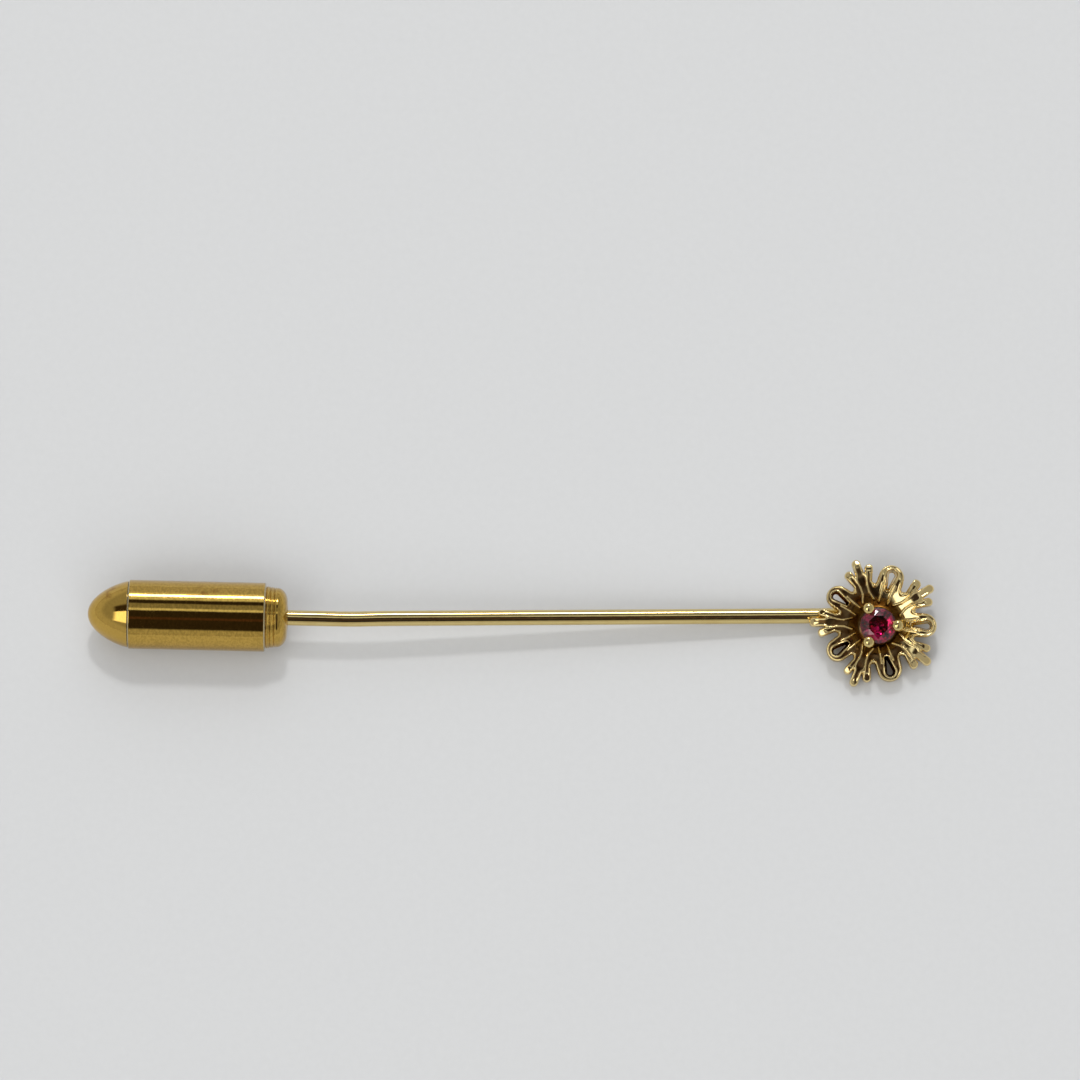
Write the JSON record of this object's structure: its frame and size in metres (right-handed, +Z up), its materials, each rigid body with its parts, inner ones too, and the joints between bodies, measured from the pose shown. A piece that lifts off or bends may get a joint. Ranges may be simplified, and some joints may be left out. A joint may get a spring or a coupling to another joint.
{
  "type": "stick pin",
  "caption": "Long bowed pin with a cast flower head, a claw-set round stone and a bullet-shaped ball clutch over its point.",
  "frame": {"origin": "on the pin's axis at the clutch's mouth, where the clutch's front face stands on the pin", "axes": "+X along the pin from the clutch towards the head, +Y to the far side, +Z up from the table the pin lies on, which is 2.25 mm below the origin"},
  "size_m": [0.0551, 0.0083, 0.0045],
  "materials": {
    "pale_gold": "polished pale yellow gold, fine handling scratches",
    "plated_gold": "gold-plated brass, satin turned grain, slight tarnish, worn silver-white at the seams",
    "red_stone": "clear deep red faceted stone",
    "bright_steel": "turned bright steel"
  },
  "bodies": {
    "pin": {"pin_wire": "pale_gold", "flower_casting": "pale_gold", "stone_setting": "pale_gold", "claw_1": "pale_gold", "claw_2": "pale_gold", "claw_3": "pale_gold", "round_stone": "red_stone", "solder_joint": "pale_gold"},
    "clutch_body": {"clutch_barrel": "plated_gold", "front_collar": "plated_gold", "taper_seat": "bright_steel", "rear_bush": "bright_steel", "return_spring": "bright_steel"},
    "plunger": {"nose_cap": "plated_gold", "plunger_stem": "bright_steel"},
    "ball_1": {"lock_ball_1": "bright_steel"},
    "ball_2": {"lock_ball_2": "bright_steel"},
    "ball_3": {"lock_ball_3": "bright_steel"}
  },
  "joints": [
    {"name": "clutch_slide", "type": "slide", "parent": "pin", "child": "clutch_body", "axis": [-1, 0, 0], "range_m": [0, 0.03]},
    {"name": "release_pull", "type": "slide", "parent": "clutch_body", "child": "plunger", "axis": [-1, 0, 0], "range_m": [0, 0.001], "stiffness_N_per_m": 200, "springref_m": -0.002, "deforming": ["return_spring"]},
    {"name": "ball_1_travel", "type": "slide", "parent": "plunger", "child": "ball_1", "axis": [0, 0, 1], "range_m": [0, 0.00022]},
    {"name": "ball_2_travel", "type": "slide", "parent": "plunger", "child": "ball_2", "axis": [0, -0.866, -0.5], "range_m": [0, 0.00022]},
    {"name": "ball_3_travel", "type": "slide", "parent": "plunger", "child": "ball_3", "axis": [0, 0.866, -0.5], "range_m": [0, 0.00022]}
  ],
  "couplings": [
    {"joint": "ball_1_travel", "follows": "release_pull", "ratio": 0.21256},
    {"joint": "ball_2_travel", "follows": "release_pull", "ratio": 0.21256},
    {"joint": "ball_3_travel", "follows": "release_pull", "ratio": 0.21256}
  ]
}
